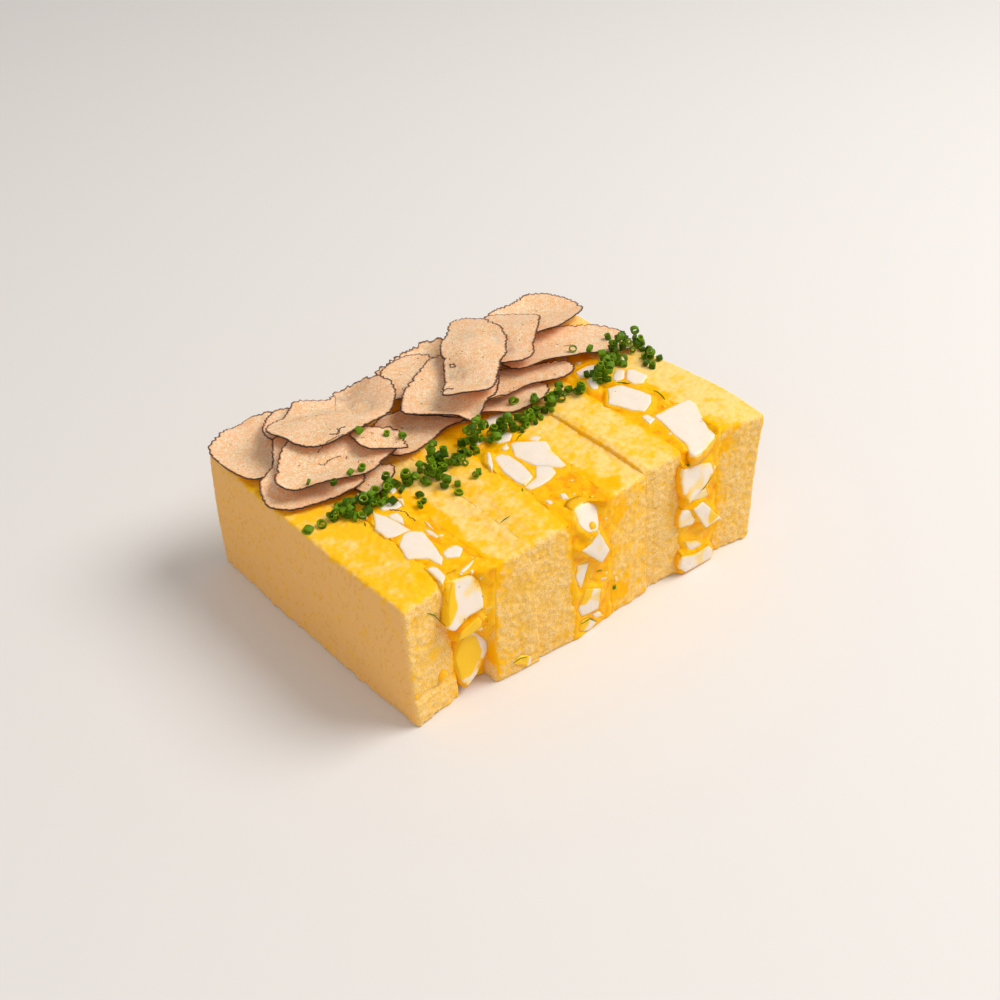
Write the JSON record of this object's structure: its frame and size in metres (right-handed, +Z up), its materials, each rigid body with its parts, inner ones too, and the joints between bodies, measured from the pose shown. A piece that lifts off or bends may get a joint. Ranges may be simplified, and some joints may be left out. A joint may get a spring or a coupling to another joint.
{
  "type": "egg salad sandwich",
  "caption": "Block of upright crustless milk-bread sandwiches with chunky egg salad between the slices and shaved truffle laid over the back half.",
  "frame": {"origin": "bottom centre of the block's bounding box, on the surface that it stands on", "axes": "+X across the bread slices, +Y along them away from the cut front ends, +Z up"},
  "size_m": [0.1422, 0.1106, 0.059],
  "materials": {
    "bread": "soft matte crumb",
    "egg_salad": "moist, softly glossy sauce",
    "egg_white": "smooth, moist, slightly translucent",
    "truffle": "matte, slightly translucent, with a dark rim",
    "herb": "fresh green, softly glossy"
  },
  "bodies": {
    "root": {"bread_1": "bread", "bread_2": "bread", "bread_3": "bread", "bread_4": "bread", "bread_5": "bread", "bread_6": "bread", "filling_1": "egg_salad", "filling_2": "egg_salad", "filling_3": "egg_salad", "truffle_01": "truffle", "truffle_02": "truffle", "truffle_03": "truffle", "truffle_04": "truffle", "truffle_05": "truffle", "truffle_06": "truffle", "truffle_07": "truffle", "truffle_08": "truffle", "truffle_09": "truffle", "truffle_10": "truffle", "truffle_11": "truffle", "truffle_12": "truffle", "truffle_13": "truffle", "truffle_14": "truffle", "truffle_15": "truffle", "truffle_16": "truffle", "truffle_17": "truffle"}
  },
  "joints": []
}
